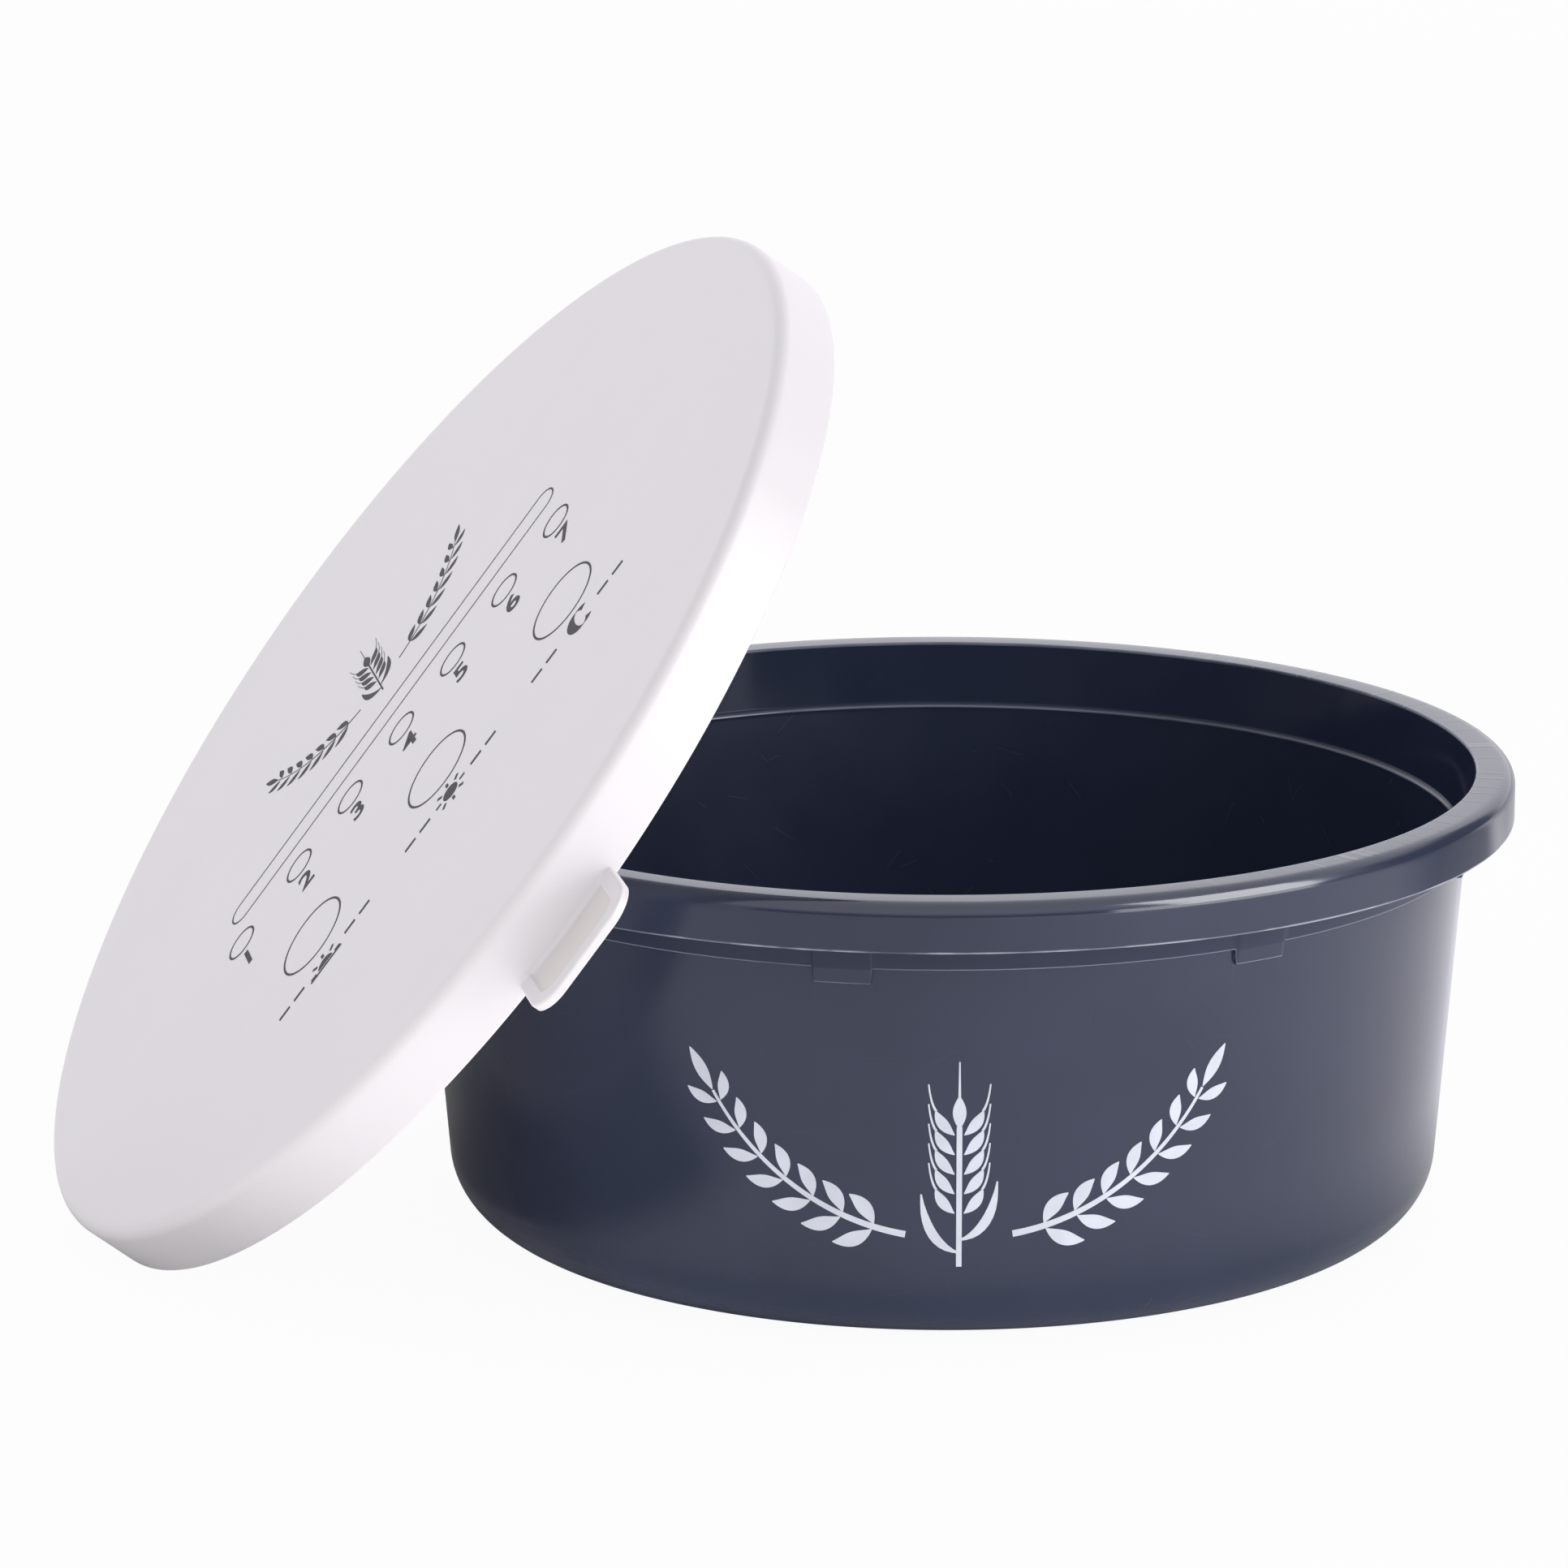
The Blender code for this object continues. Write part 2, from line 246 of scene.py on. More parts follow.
def skin(rings, poles=None):
    """Vertices and faces of a closed surface through rings of points.

    Point j of ring i is joined to point j of ring i + 1 and to point j + 1 of its own ring,
    which closes on itself. With two poles, a fan joins each to the first and the last
    ring. Without, the last ring joins the first.
    """
    rings = np.asarray(rings, float)
    rows, columns = rings.shape[:2]
    points = rings.reshape(-1, 3)
    row = np.arange(rows if poles is None else rows - 1)[:, None]
    column = np.arange(columns)[None]
    after_row = (row + 1) % rows
    after_column = (column + 1) % columns
    quads = np.stack([
        row * columns + column,
        row * columns + after_column,
        after_row * columns + after_column,
        after_row * columns + column,
    ], -1).reshape(-1, 4)
    faces = [quads]
    if poles is not None:
        points = np.concatenate([points, poles])
        edge = np.arange(columns)
        ahead = (edge + 1) % columns
        last = (rows - 1) * columns
        faces.append(np.stack([ahead, edge, np.full(columns, rows * columns)], -1))
        faces.append(np.stack([last + edge, last + ahead, np.full(columns, rows * columns + 1)], -1))
    halves = quads[:, [0, 1, 2, 0, 2, 3]].reshape(-1, 3)
    corner = points[np.concatenate([halves, *faces[1:]])]
    volume = np.einsum("ij,ij->", corner[:, 0], np.cross(corner[:, 1], corner[:, 2]))
    if volume < 0:
        faces = [part[:, ::-1] for part in faces]
    return points, faces


def join(surfaces):
    """One set of vertices and faces from several, each set's faces moved on by the vertices before it."""
    points, faces, count = [], [], 0
    for surface_points, surface_faces in surfaces:
        points.append(surface_points)
        faces += [part + count for part in surface_faces]
        count += len(surface_points)
    return np.concatenate(points), faces


def make_piece(name, surface, material, body, edge=None):
    """A smooth-shaded object of a surface, with creases where its faces meet at more than the crease angle.

    The edge values, one for each point, are kept as an attribute that the material reads.
    """
    points, faces = surface
    mesh = bpy.data.meshes.new(name)
    mesh.from_pydata(points.tolist(), [], [face for part in faces for face in part.tolist()])
    mesh.materials.append(material)
    if edge is not None:
        mesh.attributes.new("edge", "FLOAT", "POINT").data.foreach_set("value", edge)
    mesh.shade_smooth()
    mesh.set_sharp_from_angle(angle=radians(CREASE_ANGLE))
    piece = bpy.data.objects.new(name, mesh)
    bpy.context.scene.collection.objects.link(piece)
    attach(piece, body)
    return piece


def smooth_step(values):
    """Zero below 0, one above 1, and the cubic 3t^2 - 2t^3 between."""
    share = np.clip(values, 0, 1)
    return share * share * (3 - 2 * share)


# The bowl's form

BOWL_COLUMNS = 288
# Radians between a lug's own columns and the nearest evenly spaced one
COLUMN_CLEARANCE = 0.004
# Half the width over which a lug's flank rises, and how much of the paler edge colour, from wear and painted
# highlight, the flank takes
LUG_EDGE = 0.0003
FLANK_WEAR_AND_HIGHLIGHT = 2.4


def wall_radius(bowl, height):
    """Outer radius of the tapered wall: a straight line from the base to the step."""
    return bowl.base_radius + (bowl.wall_top_radius - bowl.base_radius) * height / bowl.step_height


def collar_radius(bowl, height):
    """Outer radius of the collar: a straight line from the step to the rim's underside."""
    foot = bowl.wall_top_radius + bowl.step_out
    top = bowl.rim_radius - bowl.rim_face + bowl.wall
    share = (height - bowl.step_height) / (bowl.height - bowl.wall - bowl.step_height)
    return foot + (top - foot) * share


def bowl_section(bowl, drop, proud):
    """The bowl's section from the axis outside to the axis inside, with the step let down by a drop.

    The collar is pushed out by the other length. Each row is a corner: across, up, its
    round's radius and its round's steps. The rows with no round keep the wall's shading even.
    """
    step = bowl.step_height - drop
    under = bowl.height - bowl.wall
    skirt_foot = bowl.height - bowl.rim_skirt
    skirt_bore = bowl.rim_radius - bowl.wall
    bore = bowl.rim_radius - bowl.rim_face
    ledge = bowl.step_height + bowl.wall
    return section([
        (0, 0, 0, 0),
        (bowl.base_radius * 0.45, 0, 0, 0),
        (bowl.base_radius, 0, bowl.base_corner, 18),
        *[(wall_radius(bowl, height), height, 0, 0) for height in (0.035, 0.055, 0.075, step - 0.0012)],
        (wall_radius(bowl, step), step, 0.0003, 2),
        (collar_radius(bowl, step) + proud, step, 0.0004, 3),
        (collar_radius(bowl, under) + proud, under, 0.0010, 4),
        (skirt_bore, under, bowl.rim_shoulder - bowl.wall, 5),
        (skirt_bore, skirt_foot, 0.0003, 3),
        (bowl.rim_radius, skirt_foot, 0.0004, 4),
        (bowl.rim_radius, bowl.height, bowl.rim_shoulder, 12),
        (bore, bowl.height, 0.0008, 6),
        (collar_radius(bowl, bowl.step_height) - bowl.wall, ledge + 0.0010, 0.0006, 4),
        (bowl.wall_top_radius - bowl.wall, ledge, 0.0006, 4),
        (wall_radius(bowl, 0.055) - bowl.wall, 0.055, 0, 0),
        (wall_radius(bowl, bowl.floor) - bowl.wall, bowl.floor, bowl.base_corner - bowl.wall, 18),
        (bowl.base_radius * 0.45, bowl.floor, 0, 0),
        (0, bowl.floor, 0, 0),
    ])


def bowl_surface(bowl):
    """The bowl: at each angle the plain section, or the lug's where a lug stands.

    The lug's share is a smooth step on the distance from the lug's centre line, so a point
    is plain + share * (lug - plain), turned to its angle from the front. The second result
    is each point's share of a worn edge, which the lugs' flanks have too; the material
    makes these edges paler, as wear and as painted highlight.
    """
    plain = bowl_section(bowl, 0, 0)
    lugged = bowl_section(bowl, bowl.lug_drop, bowl.lug_proud)
    pitch = 2 * pi / bowl.lug_count
    half = bowl.lug_width / 2
    near = np.linspace(-1, 1, 5) * LUG_EDGE
    sides = np.concatenate([near - half, near + half]) / bowl.wall_top_radius
    centres = bowl.lug_first + pitch * np.arange(bowl.lug_count)
    even = np.linspace(0, 2 * pi, BOWL_COLUMNS, endpoint=False)
    extra = (centres[:, None] + sides).reshape(-1) % (2 * pi)
    far = np.abs(even[:, None] - extra[None]).min(1) > COLUMN_CLEARANCE
    angles = np.sort(np.concatenate([even[far], extra]))
    off = (angles - bowl.lug_first + pitch / 2) % pitch - pitch / 2
    share = smooth_step((half + LUG_EDGE - np.abs(off) * bowl.wall_top_radius) / (2 * LUG_EDGE))
    rows = plain[1:-1, None] + share[None, :, None] * (lugged - plain)[1:-1, None]
    rings = np.stack([rows[..., 0] * np.sin(angles), -rows[..., 0] * np.cos(angles), rows[..., 1]], -1)
    poles = [(0, 0, 0), (0, 0, bowl.floor)]
    moved = np.abs(lugged - plain)[1:-1, 0] > bowl.lug_proud / 2
    # The lugs' flanks take the paler edge colour too: wear and painted highlight
    flank = moved[:, None] * (FLANK_WEAR_AND_HIGHLIGHT * share * (1 - share))[None]
    worn = np.concatenate([np.maximum(rows[..., 2], flank).reshape(-1), [0, 0]])
    return skin(rings, poles), worn


# The lid's form and place

LID_COLUMNS = 384
# Round of the skirt's open edge, on which the lid stands
OPEN_EDGE = 0.0005


def lean(lid, bowl):
    """Matrix of the leaning lid: its open edge on the floor, its panel against the rim's shoulder.

    The lid's x runs up the slope along the print, its z is the printed face's normal. The
    height comes from the open edge touching the floor, the distance from the panel's inner
    face lying one gap off the shoulder's arc.
    """
    heading, rise = lid.heading, lid.rise
    level = Vector((cos(heading), sin(heading), 0))
    aside = Vector((sin(heading), -cos(heading), 0))
    face = level * cos(rise) + Vector((0, 0, sin(rise)))
    slope = Vector((0, 0, cos(rise))) - level * sin(rise)
    lift = (lid.radius + lid.flare - OPEN_EDGE) * cos(rise) + (lid.depth - OPEN_EDGE) * sin(rise) + OPEN_EDGE
    shoulder = level * (bowl.rim_radius - bowl.rim_shoulder)
    shoulder += Vector((0, 0, bowl.height - bowl.rim_shoulder))
    stand_off = shoulder.dot(face) + bowl.rim_shoulder + lid.seat_gap + lid.panel
    away = (stand_off - lift * face.z) / cos(rise)
    centre = level * away + aside * lid.sidestep + Vector((0, 0, lift))
    across = slope * cos(lid.spin) - aside * sin(lid.spin)
    turned = Matrix((across, face.cross(across), face)).transposed().to_4x4()
    return Matrix.Translation(centre) @ turned


def placed(points, matrix):
    """Points carried by a matrix."""
    matrix = np.array(matrix)
    return points @ matrix[:3, :3].T + matrix[:3, 3]


def lid_surface(lid):
    """The lid turned about its own axis: each section point goes round the circle of its own radius.

    The row that stands in from the bore, near the open edge, is the grip bead.
    """
    bore = lid.radius + lid.flare - lid.wall
    rows = section([
        (0, 0, 0, 0),
        (lid.radius * 0.5, 0, 0, 0),
        (lid.radius, 0, lid.shoulder, 12),
        (lid.radius + lid.flare / 2, -lid.depth / 2, 0, 0),
        (lid.radius + lid.flare, -lid.depth, OPEN_EDGE, 4),
        (bore, -lid.depth, OPEN_EDGE, 3),
        (bore, 0.0008 - lid.depth, 0, 0),
        (bore - lid.bead, 0.0018 - lid.depth, 0.0006, 5),
        (bore, 0.0028 - lid.depth, 0, 0),
        (lid.radius - lid.wall, -lid.panel, lid.shoulder - lid.wall, 6),
        (lid.radius * 0.5, -lid.panel, 0, 0),
        (0, -lid.panel, 0, 0),
    ])[1:-1]
    angles = np.linspace(0, 2 * pi, LID_COLUMNS, endpoint=False)
    across, up = rows[:, :1], np.repeat(rows[:, 1:2], len(angles), 1)
    rings = np.stack([across * np.cos(angles), across * np.sin(angles), up], -1)
    return skin(rings, [(0, 0, 0), (0, 0, -lid.panel)])


def tab_surface(lid):
    """The pull tab: a height over a grid that runs from inside the skirt to the tab's outline.

    Columns run across the tab, sines crowding them into its round corners, and rows run
    out from the skirt's circle. With d the distance in from the outline and s the distance
    out from the skirt, the top is the border's level, less round - sqrt(round^2 - (round -
    d)^2) near the outline, less the recess times a smooth step on d and on s, plus fillet -
    sqrt(fillet^2 - (fillet - s)^2) at the skirt. A faint groove marks where the fillet
    meets the sunk panel. Each column closes along the flat underside. The second result is
    each point's share of the sunk panel.
    """
    foot = 0.0002 - lid.depth
    skirt = lid.radius + lid.flare
    half, corner = lid.tab_width / 2, lid.tab_corner
    reach = skirt + lid.tab_reach
    bend = np.sin(np.linspace(0, pi / 2, 36))[1:]
    right = np.concatenate([np.linspace(0, half - corner, 44), half - corner + corner * bend])
    x = np.concatenate([-right[:0:-1], right])[:, None]
    over = np.maximum(np.abs(x) - (half - corner), 0)
    end = reach - corner + np.sqrt(np.maximum(corner**2 - over**2, 0))
    start = np.sqrt(skirt**2 - x**2)
    near = np.concatenate([
        [-0.6 * lid.wall],
        lid.tab_fillet * (1 - np.cos(np.linspace(0, pi / 2, 9))),
        lid.tab_fillet + np.linspace(0.0001, 0.0012, 9),
    ])
    far = np.concatenate([
        np.linspace(lid.tab_border * 1.3, lid.tab_round, 24),
        lid.tab_round * (1 - np.sin(np.linspace(0, pi / 2, 8)[1:])),
    ])
    middle = np.linspace(0, 1, 16)[1:-1]
    first, last = start + near[-1], end - far[0]
    y = np.concatenate([start + near, first + (last - first) * middle, end - far], 1)
    inward = corner - np.hypot(over, np.maximum(y - (reach - corner), 0))
    flat = np.minimum(half - np.abs(x), reach - y)
    inward = np.where((over > 0) & (y > reach - corner), inward, flat)
    outward = np.hypot(x, y) - skirt
    dip = np.maximum(lid.tab_round - inward, 0)
    drop = lid.tab_round - np.sqrt(np.maximum(lid.tab_round**2 - dip**2, 0))
    climb = np.clip(lid.tab_fillet - outward, 0, lid.tab_fillet)
    fillet = lid.tab_fillet - np.sqrt(lid.tab_fillet**2 - climb**2)
    fillet *= smooth_step((inward - 0.0003) / 0.0022)
    sunk = smooth_step((inward - lid.tab_border * 0.88) / (lid.tab_border * 0.16))
    groove_off, groove_width, groove_depth = 0.0005, 0.00022, 0.00020
    groove = groove_depth * np.exp(-(((outward - lid.tab_fillet - groove_off) / groove_width) ** 2))
    groove *= smooth_step((inward - lid.tab_border * 0.9) / 0.0010) * smooth_step((x + half * 0.62) / half)
    top = foot + lid.tab_thickness - drop - lid.tab_recess * sunk + fillet - groove
    under = foot + 0.0003 * smooth_step(1 - inward / 0.0005)
    x = np.broadcast_to(x, y.shape)
    rings = np.concatenate([np.stack([x, -y, top], -1), np.stack([x, -y, under], -1)[:, ::-1]], 1)
    rings = rings @ np.array(Matrix.Rotation(lid.tab_angle, 3, "Z")).T
    # The sunk panel's share, which the material darkens as painted shade
    panel = sunk * smooth_step((outward - lid.tab_fillet) / 0.0005)
    panel = np.concatenate([panel, np.zeros_like(panel)], 1)
    return skin(rings, [rings[0].mean(0), rings[-1].mean(0)]), np.append(panel, [0, 0])


# Prints

# Where the prints lie on the lid, in metres: x runs up the slope, y to the left of it
DAY_SHIFT = -0.0012
FIRST_DAY_SHIFT = -0.0029
MEAL_SHIFT = 0.0015
MEAL_ROW = -0.0449
NUMBER_ROW = -0.0118
NUMBER_SIZE = 0.0116
SIGN_ROW = -0.0650
SLOT_CENTRE = (-0.0003, 0.0179)
SLOT_TILT = radians(1.05)
LID_MARK_CENTRE = (0.0, 0.0515, 0.0)
# Where the mark lies on the bowl, and how far leaves and grains stand off their stems
BOWL_MARK_HEIGHT = 0.0495
LEAF_ANGLE = radians(36)
BOWL_MARK_ANGLE = radians(0.9)


def normals(ahead):
    """Unit vectors square to a line: its directions turned a quarter and divided by their lengths."""
    return np.stack([ahead[:, 1], -ahead[:, 0]], 1) / np.linalg.norm(ahead, axis=1)[:, None]


def raised(path, height):
    """Points of a flat path at one height."""
    return np.column_stack([path, np.full(len(path), height)])


def four_sides(path, spread, film):
    """The four edges of a line: its path less and plus the spread, at the film's two heights."""
    low, high = film
    edges = ((-1, low), (1, low), (1, high), (-1, high))
    return [raised(path + sign * spread, height) for sign, height in edges]


def band(path, width, film):
    """A closed line: the path moved in and out by half a width along its normal, between two heights.

    The path's direction at a point runs from the point before to the point after.
    """
    spread = normals(np.roll(path, -1, 0) - np.roll(path, 1, 0)) * width / 2
    return np.array(four_sides(path, spread, film))


def stroke(path, widths, film):
    """An open line with its own width at each point: a four-sided section carried along the path."""
    spread = normals(np.gradient(path, axis=0)) * np.broadcast_to(widths, len(path))[:, None] / 2
    rings = np.stack(four_sides(path, spread, film), 1)
    return rings, [rings[0].mean(0), rings[-1].mean(0)]


def blade(root, tip, width, film, bend=0.0):
    """A pointed leaf: its widths follow sin(pi * share), its middle line is bent aside by a parabola."""
    share = np.linspace(0.02, 0.98, 17)
    root, tip = np.array(root), np.array(tip)
    way = tip - root
    side = np.array([way[1], -way[0]])
    path = root + share[:, None] * way + (4 * bend * share * (1 - share))[:, None] * side
    return stroke(path, width * np.sin(pi * share), film)


def on_circle(turn):
    """Points of the unit circle at angles."""
    return np.stack([np.cos(turn), np.sin(turn)], -1)


def circle(radius, centre, steps=72):
    """Points of a circle."""
    return np.array(centre) + radius * on_circle(np.linspace(0, 2 * pi, steps, endpoint=False))


def slot_path(long, wide, centre, tilt):
    """A slot's outline: two straight sides joined by half circles, turned by a tilt about its centre."""
    cap = wide / 2 * on_circle(np.linspace(-pi / 2, pi / 2, 25)) + np.array([long / 2 - wide / 2, 0])
    turned = np.array([[cos(tilt), -sin(tilt)], [sin(tilt), cos(tilt)]])
    return np.concatenate([cap, -cap]) @ turned.T + np.array(centre)


def disc(path, centre, film):
    """A filled shape: its outline at two heights, closed by fans on one centre."""
    return np.array([raised(path, height) for height in film]), [(*centre, height) for height in film]


def sprig(side, root, heading, bend, long, pairs, leaf, film, line):
    """A stem along an arc with pairs of leaves, on the right for side 1 or mirrored for side -1.

    The stem's direction is heading + bend * share, so a point is root + long / bend *
    (sin(direction) - sin(heading), cos(heading) - cos(direction)). The leaves are spaced
    evenly along it and leave it at an acute angle.
    """
    def along(share):
        turn = heading + bend * share
        return np.stack([np.sin(turn) - sin(heading), cos(heading) - np.cos(turn)], -1) * long / bend + root

    mirror = np.array([side, 1])
    shares = np.linspace(0, 1, 41)
    shapes = [stroke(along(shares) * mirror, line * (1.25 - 0.7 * shares), film)]
    for spot in np.linspace(0.12, 0.94, pairs):
        base = along(np.array(spot))
        size = leaf * (1.02 - 0.26 * spot)
        for way, share in ((-1, 1.0), (1, 0.90)):
            out = on_circle(heading + bend * spot + LEAF_ANGLE * way) * size * share
            ends = ((base + out * 0.09) * mirror, (base + out) * mirror)
            shapes.append(blade(*ends, size * 0.31, film, -0.09 * way * side))
    tip = along(np.array(1.0))
    shapes.append(blade(tip * mirror, (tip + on_circle(heading + bend) * leaf) * mirror, leaf * 0.26, film))
    return shapes


def ear(root, height, pairs, grain, film, line):
    """An upright ear: grains in pairs up the top of a stem, each with an awn that bends upright.

    Two long leaves leave the stem's foot. A leaf is the curve start + 2 * share * (1 -
    share) * knee + share^2 * reach, its widths those of a sine to the power 0.8.
    """
    root = np.array(root)
    crown = root + np.array([0, height * 0.74])
    shapes = [stroke(root + np.linspace(0, 1, 9)[:, None] * (crown - root), line, film)]
    share = np.linspace(0, 1, 11)[:, None]
    awn_widths = line * (0.46 - 0.20 * share[:, 0])
    for spot in np.linspace(0.38, 0.94, pairs):
        base = root + (crown - root) * spot
        for sign in (-1, 1):
            out = np.array([sign * sin(LEAF_ANGLE), cos(LEAF_ANGLE)]) * grain
            start = base + np.array([sign * line * 0.75, 0])
            shapes.append(blade(start, start + out, grain * 0.33, film, 0.08 * sign))
            bend = share**2 * np.array([-sign * grain * 0.10, grain * 0.40])
            shapes.append(stroke(start + out * 0.94 + share * out * 0.55 + bend, awn_widths, film))
    up = np.array([0, grain])
    shapes.append(blade(crown - up * 0.1, crown + up, grain * 0.40, film))
    shapes.append(stroke(crown + up * 0.94 + share * up * 1.1, awn_widths, film))
    leaf_widths = grain * 0.30 * np.sin(pi * np.clip(share[:, 0], 0.03, 0.97)) ** 0.8
    for sign, lift in ((-1, 0.10), (1, 0.19)):
        start = root + (crown - root) * lift
        reach = np.array([sign * height * 0.19, height * 0.31])
        knee = np.array([sign * height * 0.17, height * 0.04])
        shapes.append(stroke(start + 2 * share * (1 - share) * knee + share**2 * reach, leaf_widths, film))
    return shapes


def motif(scale, pairs, grain, film, line):
    """The mark: an upright ear between two sprigs that arch up and outwards."""
    shapes = ear((0, -28 * scale), 50 * scale, pairs, grain * scale, film, line)
    root = np.array([13.5, -19.5]) * scale
    for side in (-1, 1):
        shapes += sprig(side, root, radians(9), radians(52), 62 * scale, 7, 12.5 * scale, film, line)
    return shapes


def meal_sign(index, x, y, film, line):
    """A plain sign: a rising sun, a full sun or a crescent, with two bars on each side."""
    here = np.array([x, y])
    shapes = []
    for sign in (-1, 1):
        for near, far in ((0.0086, 0.0130), (0.0148, 0.0192)):
            shapes.append(stroke(here + np.outer(np.linspace(near, far, 3), [sign, 0]), line * 1.9, film))
    if index == 2:
        outer = on_circle(np.linspace(radians(42), radians(318), 41)) * 0.0050
        inner = outer * np.array([0.38, 1.0])
        widths = np.abs(outer - inner)[:, 0] + 0.0001
        shapes.append(stroke((outer + inner) / 2 + here + np.array([0.0012, 0]), widths, film))
        return shapes
    rise = index == 0
    span = (0, pi) if rise else (0, 2 * pi)
    here = here - np.array([0, 0.0018 if rise else 0.0])
    dome = here + 0.0029 * on_circle(np.linspace(*span, 33, endpoint=rise))
    shapes.append(disc(dome, here + np.array([0, 0.0005 if rise else 0.0]), film))
    for turn in np.linspace(*span, 5 if rise else 8, endpoint=rise):
        ray = here + on_circle(turn) * np.linspace(0.0039, 0.0060, 3)[:, None]
        shapes.append(stroke(ray, line * 1.5, film))
    if rise:
        ground = here + np.array([[-0.0064, -0.0010], [0.0, -0.0010], [0.0064, -0.0010]])
        shapes.append(stroke(ground, line * 1.5, film))
    return shapes


def skins(shapes):
    """Closed surfaces of several shapes."""
    return [skin(*shape) if isinstance(shape, tuple) else skin(shape) for shape in shapes]


def on_wall(points, bowl, centre_angle, centre_height):
    """Lays a drawing on the bowl: x becomes the arc from the front, y the height, z the distance outwards."""
    height = centre_height + points[:, 1]
    angle = centre_angle + points[:, 0] / wall_radius(bowl, centre_height)
    radius = wall_radius(bowl, height) + points[:, 2]
    return np.stack([radius * np.sin(angle), -radius * np.cos(angle), height], 1)


def numeral(text, size, centre, film):
    """A number as a solid of the print's thickness, from Blender's own plain type."""
    curve = bpy.data.curves.new("numeral", "FONT")
    curve.body = text
    curve.size = size
    curve.align_x = "CENTER"
    curve.extrude = 0.5
    curve.offset = size * 0.018
    source = bpy.data.objects.new("numeral", curve)
    bpy.context.scene.collection.objects.link(source)
    bpy.context.view_layer.update()
    mesh = bpy.data.meshes.new_from_object(source.evaluated_get(bpy.context.evaluated_depsgraph_get()))
    points = np.array([vertex.co[:] for vertex in mesh.vertices])
    faces = [np.array([face.vertices[:]]) for face in mesh.polygons]
    middle = (points[:, :2].max(0) + points[:, :2].min(0)) / 2
    points[:, :2] += np.array(centre) - middle
    points[:, 2] = np.where(points[:, 2] > 0, film[1], film[0])
    bpy.data.objects.remove(source)
    bpy.data.curves.remove(curve)
    bpy.data.meshes.remove(mesh)
    return points, faces


# Materials

# Tones that wear, light and dirt give the plastics
SCUFF = (0.22, 0.24, 0.30)
WORN_EDGE_AND_HIGHLIGHT = (0.24, 0.26, 0.34)
FLASH_AND_HIGHLIGHT_LINE = (0.50, 0.52, 0.58)
CROSS_LINE = (0.42, 0.44, 0.52)
SCRATCH = (0.45, 0.42, 0.42)
SPECK = (0.30, 0.28, 0.29)
SUNK_PANEL_SHADE = (0.80, 0.745, 0.735)


class Value:
    """A number that a shader tree works out, so that sums on it are written with their signs."""

    def __init__(self, socket):
        self.socket = socket
        self.tree = socket.id_data

    def __add__(self, other):
        return calc("ADD", self, other)

    def __sub__(self, other):
        return calc("SUBTRACT", self, other)

    def __rsub__(self, other):
        return calc("SUBTRACT", other, self)

    def __mul__(self, other):
        return calc("MULTIPLY", self, other)


def feed(tree, socket, value):
    """Links a socket or a worked-out number to an input, or sets a constant on it."""
    if isinstance(value, Value):
        value = value.socket
    if isinstance(value, bpy.types.NodeSocket):
        tree.links.new(value, socket)
    elif socket.type == "RGBA":
        socket.default_value = (*value, 1.0)
    else:
        socket.default_value = value


def node(tree, kind, values=None, **settings):
    """A node with its settings, its inputs linked or set."""
    made = tree.nodes.new(kind)
    for name, value in settings.items():
        setattr(made, name, value)
    for key, value in (values or {}).items():
        feed(tree, made.inputs[key], value)
    return made


def results(made):
    """A node's outputs by name, ready for sums."""
    return {socket.name: Value(socket) for socket in made.outputs}


def parts_of(socket, kind="ShaderNodeSeparateXYZ"):
    """The three parts of a vector or a colour."""
    return [Value(part) for part in node(socket.id_data, kind, {0: socket}).outputs[:3]]


def calc(operation, *values, clamp=False):
    """The result of one sum on numbers, at least one of which a tree works out."""
    tree = next(value.tree for value in values if isinstance(value, Value))
    made = node(tree, "ShaderNodeMath", dict(enumerate(values)), operation=operation, use_clamp=clamp)
    return Value(made.outputs[0])


def window(value, low, high):
    """A mask that rises smoothly from 0 at low to 1 at high."""
    ends = {"Value": value, "From Min": low, "From Max": high}
    made = node(value.tree, "ShaderNodeMapRange", ends, interpolation_type="SMOOTHSTEP")
    return Value(made.outputs["Result"])


def fade(value, low, high):
    """A mask that falls smoothly from 1 at low to 0 at high."""
    return 1.0 - window(value, low, high)


def blend(share, first, second):
    """A mix of two colours."""
    colours = {0: share, 6: first, 7: second}
    return node(share.tree, "ShaderNodeMix", colours, data_type="RGBA").outputs[2]


def mottle(share, tint, low, high):
    """A colour that wavers between two strengths of itself."""
    return blend(share, tuple(c * low for c in tint), tuple(min(c * high, 1.0) for c in tint))


def new_group(name, inputs, outputs=("Mask",)):
    """An empty shader node group: its tree, what it is given, and the inputs of its results."""
    group = bpy.data.node_groups.new(name, "ShaderNodeTree")
    for label, default in inputs.items():
        kind = "NodeSocketVector" if default is None else "NodeSocketFloat"
        socket = group.interface.new_socket(name=label, in_out="INPUT", socket_type=kind)
        if default is not None:
            socket.default_value = default
    for label in outputs:
        group.interface.new_socket(name=label, in_out="OUTPUT", socket_type="NodeSocketFloat")
    return group, group.nodes.new("NodeGroupInput").outputs, group.nodes.new("NodeGroupOutput").inputs


def use(tree, group, **values):
    """What a group gives in a material with its own values."""
    return results(node(tree, "ShaderNodeGroup", values, node_tree=bpy.data.node_groups[group]))


